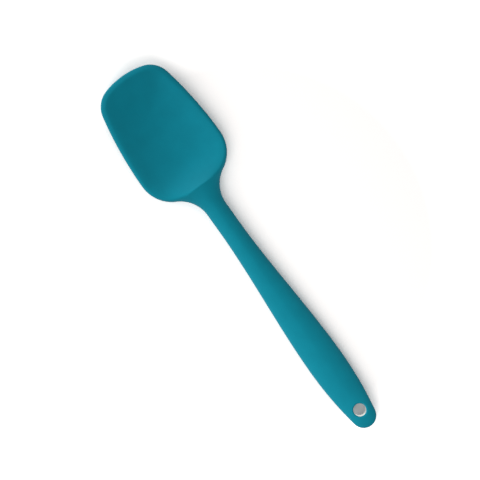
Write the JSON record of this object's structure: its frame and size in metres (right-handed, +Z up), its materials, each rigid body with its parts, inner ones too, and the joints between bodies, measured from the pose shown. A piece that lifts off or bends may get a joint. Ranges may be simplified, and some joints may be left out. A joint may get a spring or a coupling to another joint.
{
  "type": "silicone spoon",
  "caption": "Teal silicone mixing spoon with a squared scoop bowl, slim neck and swelling grip with a hanging hole, moulded over a stiff nylon core.",
  "frame": {"origin": "on the table under the middle of the spoon's length, on its line of symmetry", "axes": "+X from the bowl's tip to the hanging end, +Y across the spoon, +Z up out of the bowl"},
  "size_m": [0.28, 0.0626, 0.0158],
  "materials": {
    "silicone": "matte moulded silicone, teal",
    "nylon": "natural glass-filled nylon"
  },
  "bodies": {
    "root": {"silicone_skin": "silicone", "nylon_core": "nylon"}
  },
  "joints": []
}
